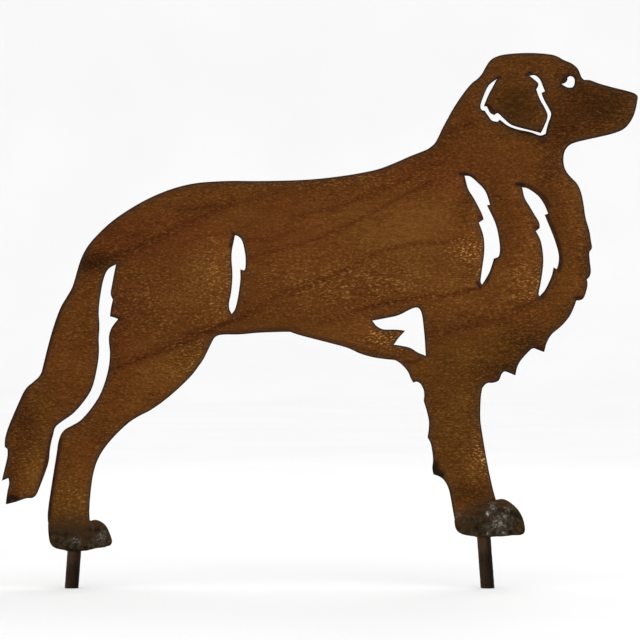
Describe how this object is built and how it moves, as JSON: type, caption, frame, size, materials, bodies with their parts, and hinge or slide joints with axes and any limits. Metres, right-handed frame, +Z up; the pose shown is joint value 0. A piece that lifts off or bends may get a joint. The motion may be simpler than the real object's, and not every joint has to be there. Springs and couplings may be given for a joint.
{
  "type": "sheet steel dog garden stake",
  "caption": "Flat retriever cut from rusted sheet steel and beaten into low relief, with slots for its coat, lumpy weld metal paws and round stakes to set in the ground.",
  "frame": {"origin": "centre of the front stake's cut foot, at ground level", "axes": "+X from tail to nose, +Z up, -Y out of the sheet's front face"},
  "size_m": [0.4772, 0.0146, 0.4014],
  "materials": {
    "rusted_sheet": "rusted, brushed and lacquered, satin",
    "weld_metal": "rough weld scale with bright spots",
    "black_rod": "dark brown mill scale"
  },
  "bodies": {
    "root": {"dog_sheet": "rusted_sheet", "front_paw": "weld_metal", "rear_paw": "weld_metal", "front_stake": "black_rod", "rear_stake": "black_rod"}
  },
  "joints": []
}
